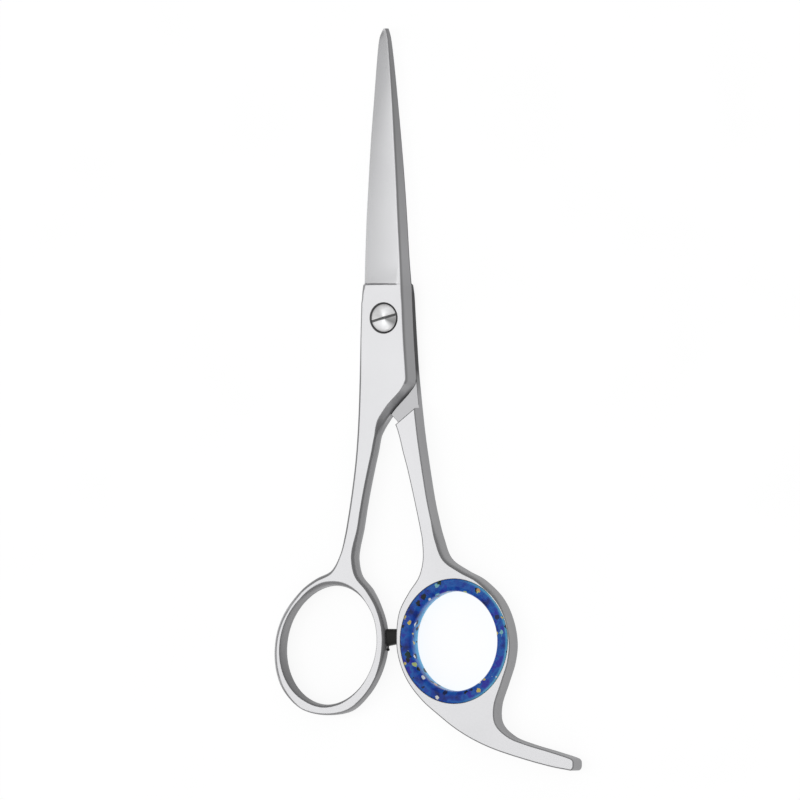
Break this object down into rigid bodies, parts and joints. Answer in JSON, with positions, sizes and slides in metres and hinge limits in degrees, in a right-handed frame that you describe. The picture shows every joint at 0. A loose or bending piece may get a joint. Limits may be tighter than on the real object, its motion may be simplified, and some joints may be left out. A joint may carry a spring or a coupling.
{
  "type": "hair cutting shears",
  "caption": "Hair cutting shears: pivoting steel blades with finger rings, a curved tang, a slotted tension screw, a rubber bumper and a resin finger insert.",
  "frame": {"origin": "where the pivot axis meets the plane of the back, which the closed shears lie on", "axes": "+Z along the pivot axis towards the screw head, +Y towards the blade tips, +X towards the tang"},
  "size_m": [0.0816, 0.1789, 0.0048],
  "materials": {
    "satin_steel": "satin",
    "screw_steel": "turned",
    "washer_steel": "plain",
    "glide_plastic": "matte",
    "black_rubber": "matte",
    "blue_resin": "translucent gloss"
  },
  "bodies": {
    "rear_blade": {"rear_half": "satin_steel", "finger_insert": "blue_resin", "glide_washer": "glide_plastic"},
    "front_blade": {"front_half": "satin_steel", "bumper": "black_rubber", "spring_washer": "washer_steel"},
    "screw": {"pivot_screw": "screw_steel"}
  },
  "joints": [
    {"name": "blade_pivot", "type": "hinge", "parent": "rear_blade", "child": "front_blade", "pos_m": [0, 0, 0.00235], "axis": [0, 0, -1], "range_deg": [0, 90]},
    {"name": "tension_screw", "type": "hinge", "parent": "rear_blade", "child": "screw", "pos_m": [0, 0, 0.00235], "axis": [0, 0, 1], "range_deg": [-90, 90]}
  ]
}
